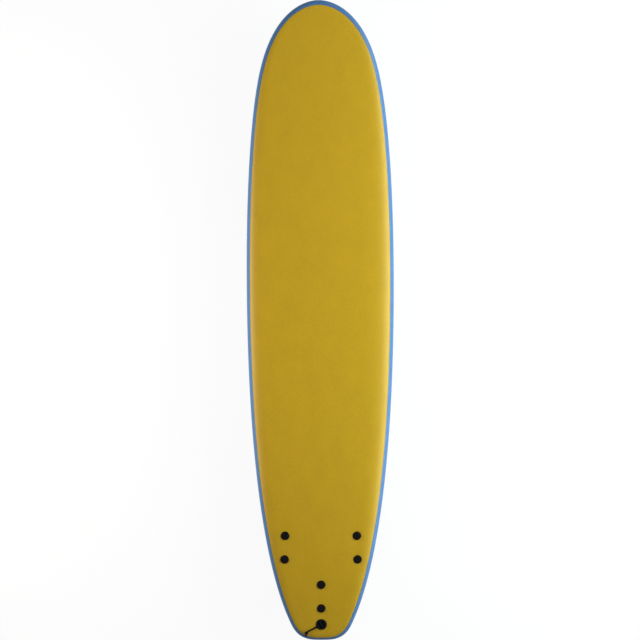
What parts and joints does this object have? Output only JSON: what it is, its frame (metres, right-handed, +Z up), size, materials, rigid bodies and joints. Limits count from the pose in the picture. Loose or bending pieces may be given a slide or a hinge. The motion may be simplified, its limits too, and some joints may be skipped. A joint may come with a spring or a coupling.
{
  "type": "soft-top surfboard",
  "caption": "Longboard-shaped soft-top surfboard with foam deck and rails, slick bottom, thruster fins bolted through the deck, and a leash plug with a knotted string.",
  "frame": {"origin": "centre of the footprint, at the height of the lowest fin tips", "axes": "+Y to the nose, +X to the right seen from above the deck, +Z up out of the deck"},
  "size_m": [0.568, 2.44, 0.2392],
  "materials": {
    "deck_foam": "matte",
    "rail_foam": "satin",
    "bottom_slick": "satin",
    "white_foam": "matte",
    "stringer_wood": "matte",
    "fin_black": "satin",
    "hardware_black": "satin",
    "pin_steel": "polished",
    "string_black": "matte"
  },
  "bodies": {
    "root": {"deck_skin": "deck_foam", "rail_skin_left": "rail_foam", "rail_skin_right": "rail_foam", "slick_bottom": "bottom_slick", "bottom_liner": "white_foam", "foam_core_left": "white_foam", "foam_core_centre": "white_foam", "foam_core_right": "white_foam", "stringer_left": "stringer_wood", "stringer_right": "stringer_wood", "fin_left": "fin_black", "fin_right": "fin_black", "fin_centre": "fin_black", "fin_washer_left_front": "hardware_black", "fin_washer_left_rear": "hardware_black", "fin_washer_right_front": "hardware_black", "fin_washer_right_rear": "hardware_black", "fin_washer_centre_front": "hardware_black", "fin_washer_centre_rear": "hardware_black", "fin_bolt_left_front": "hardware_black", "fin_bolt_left_rear": "hardware_black", "fin_bolt_right_front": "hardware_black", "fin_bolt_right_rear": "hardware_black", "fin_bolt_centre_front": "hardware_black", "fin_bolt_centre_rear": "hardware_black", "leash_plug_cup": "hardware_black", "leash_plug_pin": "pin_steel", "leash_plug_base": "hardware_black", "leash_string_bight": "string_black", "leash_string_strand_upper": "string_black", "leash_string_strand_lower": "string_black", "leash_string_knot": "string_black"}
  },
  "joints": []
}
